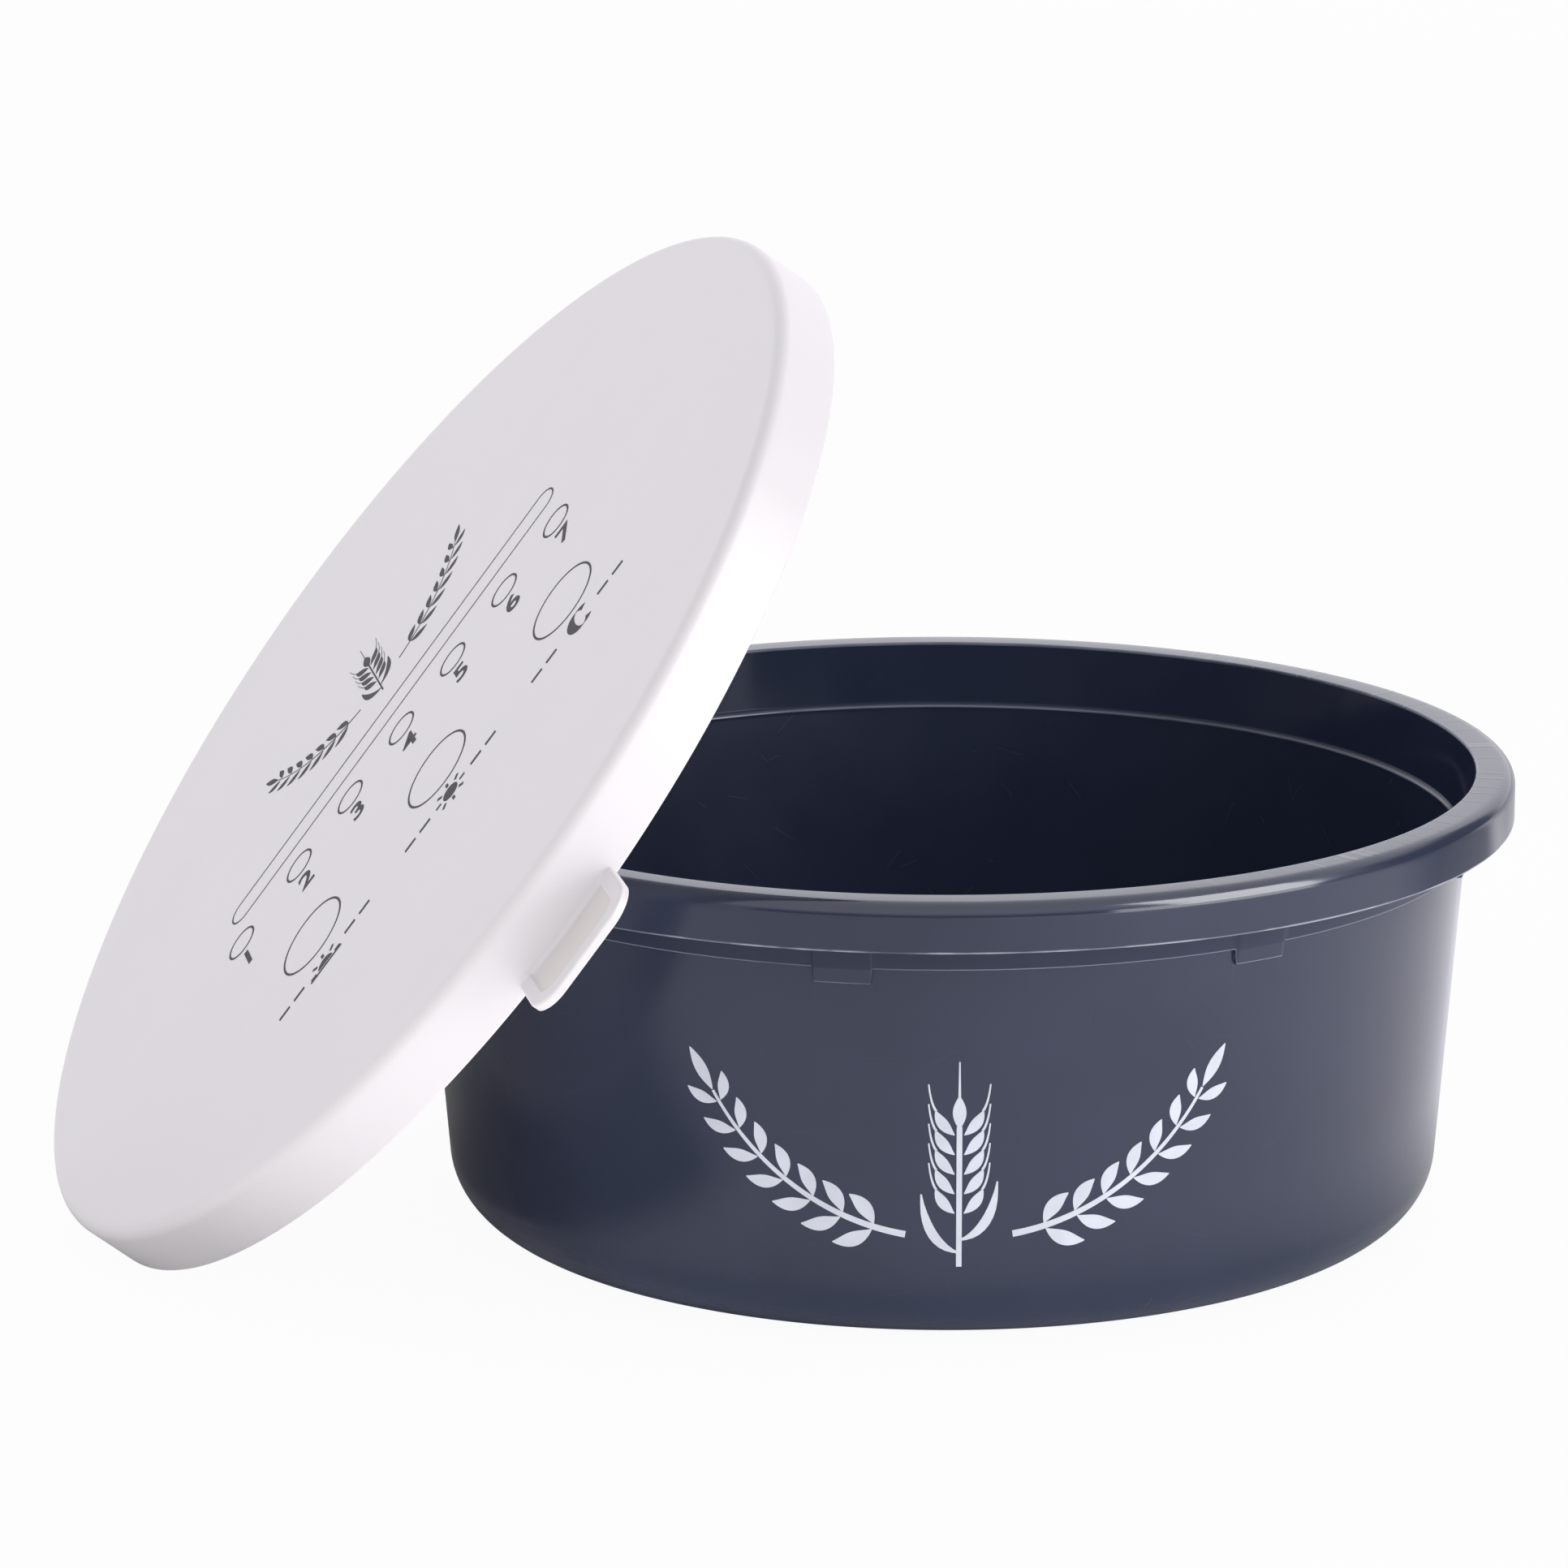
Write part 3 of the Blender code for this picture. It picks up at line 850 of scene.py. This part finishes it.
def build_groups():
    """The effects that several materials share."""
    group, given, result = new_group(
        "moulded_grain", {"Place": None, "Fine": 2600.0, "Broad": 34.0}, ("Height", "Cloud")
    )
    fine = {"Vector": given["Place"], "Scale": given["Fine"], "Detail": 2.0}
    broad = {"Vector": given["Place"], "Scale": given["Broad"], "Detail": 3.0, "Roughness": 0.55}
    feed(group, result["Height"], node(group, "ShaderNodeTexNoise", fine).outputs[0])
    feed(group, result["Cloud"], node(group, "ShaderNodeTexNoise", broad).outputs[0])

    group, given, result = new_group("specks", {"Place": None, "Scale": 120.0, "Share": 0.04, "Size": 0.16})
    cells = node(group, "ShaderNodeTexVoronoi", {"Vector": given["Place"], "Scale": given["Scale"]})
    pick = parts_of(cells.outputs["Color"], "ShaderNodeSeparateColor")
    dot = calc("LESS_THAN", Value(cells.outputs["Distance"]), pick[1] * given["Size"])
    feed(group, result["Mask"], calc("LESS_THAN", pick[0], given["Share"]) * dot)

    group, given, result = new_group(
        "hair_scratches", {"Place": None, "Scale": 60.0, "Thin": 0.00006, "Long": 0.0050, "Share": 0.30}
    )
    spots = {"Vector": given["Place"], "Scale": given["Scale"]}
    cells = node(group, "ShaderNodeTexVoronoi", spots, voronoi_dimensions="2D")
    pick = parts_of(cells.outputs["Color"], "ShaderNodeSeparateColor")
    ends = {0: given["Place"], 1: cells.outputs["Position"]}
    x, y, _ = parts_of(node(group, "ShaderNodeVectorMath", ends, operation="SUBTRACT").outputs[0])
    turn = pick[0] * (2 * pi)
    ahead, beside = calc("COSINE", turn), calc("SINE", turn)
    thin = calc("LESS_THAN", calc("ABSOLUTE", y * ahead - x * beside), given["Thin"])
    short = calc("LESS_THAN", calc("ABSOLUTE", x * ahead + y * beside), pick[2] * given["Long"])
    feed(group, result["Mask"], thin * short * calc("LESS_THAN", pick[1], given["Share"]))

    # Edges made paler by wear and by painted highlight, broken up by a cloud
    group, given, result = new_group("edge_wear_and_highlight", {"Edge": 0.0, "Cloud": 0.5, "Low": 0.3, "High": 0.6})
    ragged = window(Value(given["Cloud"]), given["Low"], given["High"])
    feed(group, result["Mask"], window(Value(given["Edge"]), 0.35, 0.95) * ragged)


def plastic(name, tint, roughness, draw):
    """A moulded plastic: the draw function adds its nodes and gives what changes over the surface."""
    material = bpy.data.materials.new(name)
    material.use_nodes = True
    tree = material.node_tree
    shader = tree.nodes["Principled BSDF"]
    place = node(tree, "ShaderNodeTexCoord").outputs["Object"]
    for values in ({"Base Color": tint, "Roughness": roughness}, draw(tree, place)):
        for key, value in values.items():
            feed(tree, shader.inputs[key], value)
    material.diffuse_color = (*tint, 1.0)
    return material


def navy_plastic(bowl):
    """Gloss navy plastic: a shinier, faintly rippled rim with cross lines on its top, paler edges
    from wear and painted highlight, and a broken line of painted highlight and moulding flash
    along the rim skirt's lower edge.
    """
    bore = bowl.rim_radius - bowl.rim_face
    foot = bowl.height - bowl.rim_skirt
    ledge = bowl.step_height + bowl.wall
    flat_end = bowl.rim_radius - bowl.rim_shoulder

    def mid_wall(z):
        """Radius of the wall's middle at a height: a straight line up to the step, another past it."""
        slope = (bowl.wall_top_radius - bowl.base_radius) / bowl.step_height
        lower = z * slope + (bowl.base_radius - bowl.wall / 2)
        collar_foot = bowl.wall_top_radius + bowl.step_out - bowl.wall / 2
        collar_slope = (bore + bowl.wall / 2 - collar_foot) / (bowl.height - bowl.wall - bowl.step_height)
        upper = (z - bowl.step_height) * collar_slope + collar_foot
        return lower + calc("GREATER_THAN", z, bowl.step_height) * (upper - lower)

    def draw(tree, place):
        x, y, z = parts_of(place)
        radius = calc("SQRT", calc("POWER", x, 2.0) + calc("POWER", y, 2.0))
        arc = calc("ARCTAN2", y, x) * bowl.rim_radius

        def round_noise(scale, detail):
            """Noise that changes only round the bowl."""
            given = {"W": arc, "Scale": scale, "Detail": detail}
            return Value(node(tree, "ShaderNodeTexNoise", given, noise_dimensions="1D").outputs[0])

        # Where on the bowl a point is
        on_rim = window(z, foot - 0.0004, foot) * window(radius, bore - 0.0002, bore + 0.0004)
        on_top = window(z, bowl.height - 0.0010, bowl.height - 0.0004)
        on_top = on_top * fade(radius, flat_end, flat_end + 0.0016)
        near_foot = fade(z, foot + 0.0003, foot + 0.0007) * on_rim
        outside = calc("GREATER_THAN", radius, mid_wall(z))
        on_collar = window(z, bowl.step_height - 0.0002, bowl.step_height + 0.0002) * (1.0 - on_rim) * outside
        on_inside = (1.0 - on_rim) * (1.0 - outside)
        above = window(z, ledge + 0.0003, ledge + 0.0007) * on_inside
        deep = fade(z, ledge - 0.0015, ledge - 0.0005) * on_inside

        # What has happened to it, and painted highlight on its edges
        grain = use(tree, "moulded_grain", Place=place, Fine=2200.0, Broad=18.0)
        cloudy = window(grain["Cloud"], 0.25, 0.75)
        specks = use(tree, "specks", Place=place, Scale=160.0, Share=0.030, Size=0.05)
        unrolled = node(tree, "ShaderNodeCombineXYZ", {0: arc, 1: radius + z}).outputs[0]
        scratches = use(tree, "hair_scratches", Place=unrolled, Scale=90.0, Share=0.18)
        worn = calc("MAXIMUM", specks["Mask"], scratches["Mask"] * 0.40)
        # Edges paler from wear and from painted highlight
        edge = node(tree, "ShaderNodeAttribute", attribute_name="edge").outputs["Fac"]
        wear_and_highlight = use(tree, "edge_wear_and_highlight", Edge=edge, Cloud=grain["Cloud"], Low=0.30, High=0.55)
        lines = fade(calc("ABSOLUTE", round_noise(60.0, 0.0) - 0.5), 0.003, 0.012)
        lines = lines * on_top * window(x, 0.04, 0.12)
        broken = window(round_noise(26.0, 4.0), 0.44, 0.56)
        ring = node(tree, "ShaderNodeCombineXYZ", {0: arc, 1: radius * 2.6, 2: z}).outputs[0]
        ripples = node(tree, "ShaderNodeTexNoise", {"Vector": ring, "Scale": 40.0, "Detail": 1.0})

        base = mottle(cloudy, tuple(bowl.navy), 0.90, 1.10)
        for share, tone in (
            (worn * 0.16, SCUFF),
            # edges paler from wear and painted highlight
            (wear_and_highlight["Mask"] * 0.60, WORN_EDGE_AND_HIGHLIGHT),
            # the rim skirt's lower edge: painted highlight and moulding flash, broken by noise
            (near_foot * broken * 0.50, FLASH_AND_HIGHLIGHT_LINE),
            (lines * 0.18, CROSS_LINE),
        ):
            base = blend(share, base, tone)
        rough = 0.15 - on_rim * 0.05 - on_inside * 0.05 + deep * 0.12 + on_collar * 0.18 + cloudy * 0.05
        shine = 0.5 - calc("MAXIMUM", on_inside, on_collar) * 0.20 + deep * 0.14 - above * 0.24
        crown = calc("POWER", radius - (bore + 0.0022), 2.0)
        height = on_rim * ripples.outputs[0] * 0.00016 + lines * 0.00010 - crown * on_rim * 7.0
        height = height + grain["Height"] * 0.0000025
        bump = node(tree, "ShaderNodeBump", {"Strength": 1.0, "Distance": 1.0, "Height": height})
        return {
            "Base Color": base,
            "Roughness": calc("ADD", rough, worn * 0.15, clamp=True),
            "Specular IOR Level": shine,
            "Normal": bump.outputs[0],
        }

    return plastic("navy_plastic", tuple(bowl.navy), 0.27, draw)


def white_plastic(lid):
    """Satin white plastic: a faint mottle, specks, hair scratches, and painted shade, a little warm, on the
    tab's sunk panel.
    """

    def draw(tree, place):
        grain = use(tree, "moulded_grain", Place=place, Fine=1500.0, Broad=14.0)
        cloudy = window(grain["Cloud"], 0.25, 0.75)
        specks = use(tree, "specks", Place=place, Scale=90.0, Share=0.020, Size=0.045)
        scratches = use(tree, "hair_scratches", Place=place, Scale=40.0, Long=0.0060)
        panel = Value(node(tree, "ShaderNodeAttribute", attribute_name="edge").outputs["Fac"])
        base = mottle(cloudy, tuple(lid.white), 0.985, 1.015)
        for share, tone in (
            (scratches["Mask"] * 0.10, SCRATCH),
            (specks["Mask"] * 0.55, SPECK),
            # painted shade on the tab's sunk panel
            (panel * 0.8, SUNK_PANEL_SHADE),
        ):
            base = blend(share, base, tone)
        relief = {"Strength": 0.20, "Distance": 0.00004, "Height": grain["Height"]}
        bump = node(tree, "ShaderNodeBump", relief)
        return {"Base Color": base, "Roughness": cloudy * 0.08 + 0.46, "Normal": bump.outputs[0]}

    return plastic("white_plastic", tuple(lid.white), 0.5, draw)


def ink_film(name, tint, roughness, shine):
    """Printed ink: its colour thins a little in fine grain."""

    def draw(tree, place):
        grain = use(tree, "moulded_grain", Place=place, Fine=1800.0, Broad=90.0)
        return {
            "Base Color": mottle(window(grain["Cloud"], 0.30, 0.70), tint, 0.93, 1.05),
            "Roughness": grain["Height"] * 0.1 + roughness,
            "Specular IOR Level": shine,
        }

    return plastic(name, tint, roughness, draw)


# Operators

class FEEDBOWL_OT_bowl(bpy.types.Operator):
    """Builds the bowl with its rim, ledge and lugs"""

    bl_idname = "feedbowl.bowl"
    bl_label = "Bowl"
    bl_options = {"REGISTER", "UNDO"}

    def execute(self, context):
        bowl = context.scene.feed_bowl
        # The second result is the edges' share, made paler as wear and painted highlight
        surface, worn = bowl_surface(bowl)
        shell = make_piece("bowl_shell", surface, navy_plastic(bowl), "bowl_body", worn)
        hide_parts("bowl")
        return {"FINISHED"}


class FEEDBOWL_OT_lid(bpy.types.Operator):
    """Builds the leaning lid with its grip bead and pull tab"""

    bl_idname = "feedbowl.lid"
    bl_label = "Lid"
    bl_options = {"REGISTER", "UNDO"}

    def execute(self, context):
        lid = context.scene.feed_lid
        place = lean(lid, context.scene.feed_bowl)
        white = white_plastic(lid)
        for name, surface, panel in (("lid_shell", lid_surface(lid), None), ("lid_tab", *tab_surface(lid))):
            points, faces = surface
            piece = make_piece(name, (placed(points, place), faces), white, "lid_body", panel)
            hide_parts("lid")
        return {"FINISHED"}


class FEEDBOWL_OT_lid_print(bpy.types.Operator):
    """Lays the slot, the rings, the numbers and the mark on the lid"""

    bl_idname = "feedbowl.lid_print"
    bl_label = "Lid Print"
    bl_options = {"REGISTER", "UNDO"}

    def execute(self, context):
        lid = context.scene.feed_lid
        marks = context.scene.feed_print
        place = lean(lid, context.scene.feed_bowl)
        ink = ink_film("dark_ink", tuple(marks.ink), 0.45, 0.25)
        film = (-marks.film, marks.film)
        line = marks.stroke
        days = (np.arange(7) - 3) * marks.day_pitch + DAY_SHIFT
        days[0] += FIRST_DAY_SHIFT
        meals = (np.arange(3) - 1) * marks.meal_pitch + MEAL_SHIFT
        rings = [band(circle(marks.day_ring, (x, 0)), line, film) for x in days]
        rings += [band(circle(marks.meal_ring, (x, MEAL_ROW), 96), line, film) for x in meals]
        slot = slot_path(marks.slot_length, marks.slot_width, SLOT_CENTRE, SLOT_TILT)
        numbers = [numeral(str(day + 1), NUMBER_SIZE, (x, NUMBER_ROW), film) for day, x in enumerate(days)]
        signs = sum((meal_sign(meal, x, SIGN_ROW, film, line) for meal, x in enumerate(meals)), [])
        mark = skins(motif(0.00064, 4, 11.0, film, 0.00048))
        for name, parts in (
            ("lid_slot", skins([band(slot, line * 0.8, film)])),
            ("lid_rings", skins(rings)),
            ("lid_numbers", numbers),
            ("lid_meal_signs", skins(signs)),
            ("lid_mark", [(points + np.array(LID_MARK_CENTRE), faces) for points, faces in mark]),
        ):
            points, faces = join(parts)
            piece = make_piece(name, (placed(points, place), faces), ink, "lid_body")
        return {"FINISHED"}


class FEEDBOWL_OT_bowl_print(bpy.types.Operator):
    """Lays the pale mark round the front of the bowl's wall"""

    bl_idname = "feedbowl.bowl_print"
    bl_label = "Bowl Print"
    bl_options = {"REGISTER", "UNDO"}

    def execute(self, context):
        bowl = context.scene.feed_bowl
        marks = context.scene.feed_print
        pale = ink_film("pale_print", tuple(marks.pale), 0.50, 0.5)
        points, faces = join(skins(motif(0.001, 5, 8.4, (-marks.wall_film, marks.wall_film), 0.0014)))
        points = on_wall(points, bowl, BOWL_MARK_ANGLE, BOWL_MARK_HEIGHT)
        piece = make_piece("bowl_mark", (points, faces), pale, "bowl_body")
        return {"FINISHED"}


class FEEDBOWL_OT_stage(bpy.types.Operator):
    """Sets the white floor, the soft lamps and the camera"""

    bl_idname = "feedbowl.stage"
    bl_label = "Stage"
    bl_options = {"REGISTER", "UNDO"}

    def execute(self, context):
        stage = context.scene.feed_stage
        self.floor(stage)
        self.world(context.scene, stage)
        for lamp in (
            ("front_softbox", stage.front_power, (1.3, 1.0), (0.75, -1.55, 1.15)),
            ("right_softbox", stage.right_power, (1.0, 0.9), (1.6, -0.9, 0.55)),
            ("top_strip", stage.top_power, (0.25, 0.9), (0.38, 0.55, 1.45)),
            ("back_softbox", stage.back_power, (3.2, 0.8), (0.7, 2.4, 0.55)),
            ("left_softbox", stage.left_power, (1.2, 1.0), (-1.7, -0.6, 1.0)),
            ("gloss_panel", stage.key_power, (1.15, 1.24), (1.53, -0.87, 1.00)),
            ("gloss_panel_low", stage.edge_power, (0.24, 0.073), (0.2545, -0.266, 0.1335)),
        ):
            self.lamp(*lamp)
        self.camera(context.scene, stage)
        context.scene.view_settings.view_transform = "Standard"
        return {"FINISHED"}

    def floor(self, stage):
        """A plain sheet that looks white to the camera and in gloss, and still takes the shadow.

        In gloss it carries a painted pool of light towards the right and is painted dim past the
        backdrop's end, and it shows its own shading close to the bowl and under the lid, where
        painted shade darkens it further.
        """
        mesh = bpy.data.meshes.new("studio_floor")
        half, level = 6.0, -0.0002
        corners = [(x * half, y * half, level) for x, y in ((-1, -1), (1, -1), (1, 1), (-1, 1))]
        mesh.from_pydata(corners, [], [(0, 1, 2, 3)])
        floor = bpy.data.objects.new("studio_floor", mesh)
        bpy.context.scene.collection.objects.link(floor)
        material = bpy.data.materials.new("studio_paper")
        material.use_nodes = True
        tree = material.node_tree
        tree.nodes.clear()
        place = node(tree, "ShaderNodeTexCoord").outputs["Object"]
        across, ahead, _ = parts_of(place)
        away = Value(node(tree, "ShaderNodeVectorMath", {0: place}, operation="LENGTH").outputs["Value"])
        rays = results(node(tree, "ShaderNodeLightPath"))
        gloss, soft = rays["Is Glossy Ray"], rays["Is Diffuse Ray"]

        # The glow, which in gloss carries painted light towards the right and painted dimness in the gap and
        # behind
        turn = calc("ARCTAN2", across, ahead)
        far = window(away, 0.34, 0.52)
        gap = self.gap(turn, 0.25) * far
        behind = fade(turn, 0.70, 0.95) * far * window(ahead, -0.05, 0.10)
        sheen = stage.floor_sheen
        lit = window(across, -0.10, 0.45) * sheen - gap * (0.55 + sheen) - behind * (0.20 + sheen)
        power = lit * gloss + 1.0 + soft * (stage.floor_bounce - 1.0)
        tint = blend(gloss, (1.0, 1.0, 1.0), tuple(stage.gloss_tint))
        glow = node(tree, "ShaderNodeEmission", {"Color": tint, "Strength": power})

        # Where the paper's own shading shows instead, with painted shade added under the lid in gloss
        covered = window(across * -1.0, 0.10, 0.15) * fade(across * -1.0, 0.24, 0.28)
        covered = covered * fade(calc("ABSOLUTE", ahead + 0.02), 0.14, 0.20)
        contact = calc("MAXIMUM", fade(away, 0.13, 0.20) * gloss, covered)
        contact = contact * calc("MAXIMUM", gloss, soft)
        seen = calc("MAXIMUM", rays["Is Camera Ray"], calc("MAXIMUM", gloss, rays["Is Transmission Ray"]))
        share = calc("MAXIMUM", seen, soft * 0.6) * stage.floor_glow * (1.0 - contact)
        # Painted shade: in gloss the paper under the lid darkens towards black
        tone = blend(covered * gloss * 0.6, tuple(stage.paper), (0.0, 0.0, 0.0))
        paper = node(tree, "ShaderNodeBsdfDiffuse", {"Color": tone})
        mix = node(tree, "ShaderNodeMixShader", {0: share, 1: paper.outputs[0], 2: glow.outputs[0]})
        node(tree, "ShaderNodeOutputMaterial", {"Surface": mix.outputs[0]})
        mesh.materials.append(material)

    def world(self, scene, stage):
        """Soft light all round: a pale backdrop and a dimmer room. The camera sees plain white."""
        world = bpy.data.worlds.new("studio_world")
        scene.world = world
        world.use_nodes = True
        tree = world.node_tree
        tree.nodes.clear()
        x, y, z = parts_of(node(tree, "ShaderNodeTexCoord").outputs["Generated"])
        paper = fade(z, 0.32, 0.52) * window(y, -0.60, 0.10)
        room = (1.0 - paper) * window(z, 0.08, 0.45)
        rays = results(node(tree, "ShaderNodeLightPath"))
        gloss = rays["Is Glossy Ray"]
        level = paper * stage.horizon + room * stage.ceiling
        level = self.choose(gloss, level, self.room_in_gloss(x, y, z, stage))
        level = self.choose(rays["Is Camera Ray"], level, 1.0)
        tint = blend(gloss, (1.0, 1.0, 1.0), tuple(stage.gloss_tint))
        sky = node(tree, "ShaderNodeBackground", {"Color": tint, "Strength": level})
        node(tree, "ShaderNodeOutputWorld", {"Surface": sky.outputs[0]})

    def choose(self, switch, first, second):
        """The first value where the switch is 0, the second where it is 1."""
        return (1.0 - switch) * first + switch * second

    def gap(self, turn, later):
        """The dark gap between the backdrop and the gloss panel, by the angle from +Y towards +X."""
        return window(turn, 0.60 + later, 0.78 + later) * fade(turn, 1.35, 1.70)

    def room_in_gloss(self, x, y, z, stage):
        """The room seen in gloss: dim in front, pale behind, bright above, with a dark gap at the right."""
        low = self.choose(window(y, -0.35, 0.25), stage.gloss_low, stage.gloss_back)
        level = self.choose(window(z, 0.10, 0.50), low, stage.gloss_high)
        gap = self.gap(calc("ARCTAN2", x, y), 0.0) * fade(z, 0.36, 0.66)
        return level * (1.0 - gap * 0.85)

    def lamp(self, name, power, size, stand):
        """A soft lamp aimed at the bowl. A gloss panel lights only gloss, the others only the rest."""
        light = bpy.data.lights.new(name, "AREA")
        light.shape = "RECTANGLE"
        light.size, light.size_y = size
        light.energy = power
        lamp = bpy.data.objects.new(name, light)
        bpy.context.scene.collection.objects.link(lamp)
        lamp.location = stand
        lamp.visible_camera = False
        lamp.visible_glossy = name.startswith("gloss")
        lamp.visible_diffuse = not lamp.visible_glossy
        aim = Vector((-0.04, 0.0, 0.10)) - Vector(stand)
        lamp.rotation_euler = aim.to_track_quat("-Z", "Y").to_euler()

    def camera(self, scene, stage):
        """The camera of the photograph: right, up and back axes from yaw, pitch and roll."""
        level = cos(stage.pitch)
        ahead = Vector((sin(stage.yaw) * level, cos(stage.yaw) * level, -sin(stage.pitch)))
        right = Vector((cos(stage.yaw), -sin(stage.yaw), 0))
        up = right.cross(ahead)
        level_right = right * cos(stage.roll) + up * sin(stage.roll)
        level_up = up * cos(stage.roll) - right * sin(stage.roll)
        data = bpy.data.cameras.new("photo_camera")
        data.lens = stage.lens
        data.sensor_width = 36.0
        data.clip_start, data.clip_end = 0.05, 30.0
        camera = bpy.data.objects.new("photo_camera", data)
        scene.collection.objects.link(camera)
        turned = Matrix((level_right, level_up, -ahead)).transposed().to_4x4()
        camera.matrix_world = Matrix.Translation(stage.stand) @ turned
        scene.camera = camera


class FEEDBOWL_PT_panel(bpy.types.Panel):
    """Lists the pieces and their sizes"""

    bl_idname = "FEEDBOWL_PT_panel"
    bl_label = "Feed Bowl"
    bl_space_type = "VIEW_3D"
    bl_region_type = "UI"
    bl_category = "Feed Bowl"

    def draw(self, context):
        for operator in OPERATORS:
            self.layout.operator(operator.bl_idname)
        for group in SETTINGS:
            settings = getattr(context.scene, group)
            box = self.layout.box()
            for name in settings.__annotations__:
                box.prop(settings, name)


SETTINGS = {
    "feed_bowl": FEEDBOWL_PG_bowl,
    "feed_lid": FEEDBOWL_PG_lid,
    "feed_print": FEEDBOWL_PG_print,
    "feed_stage": FEEDBOWL_PG_stage,
}
OPERATORS = (
    FEEDBOWL_OT_bowl,
    FEEDBOWL_OT_lid,
    FEEDBOWL_OT_lid_print,
    FEEDBOWL_OT_bowl_print,
    FEEDBOWL_OT_stage,
)


def register():
    for made in (*SETTINGS.values(), *OPERATORS, FEEDBOWL_PT_panel):
        bpy.utils.register_class(made)
    for name, made in SETTINGS.items():
        setattr(bpy.types.Scene, name, PointerProperty(type=made))


def unregister():
    for name in SETTINGS:
        delattr(bpy.types.Scene, name)
    for made in reversed((*SETTINGS.values(), *OPERATORS, FEEDBOWL_PT_panel)):
        bpy.utils.unregister_class(made)


def main():
    """Builds every piece and the stage."""
    register()
    build_groups()
    bpy.ops.feedbowl.bowl()
    bpy.ops.feedbowl.lid()
    bpy.ops.feedbowl.lid_print()
    bpy.ops.feedbowl.bowl_print()
    bpy.ops.feedbowl.stage()
    bpy.context.view_layer.update()


if __name__ == "__main__":
    main()
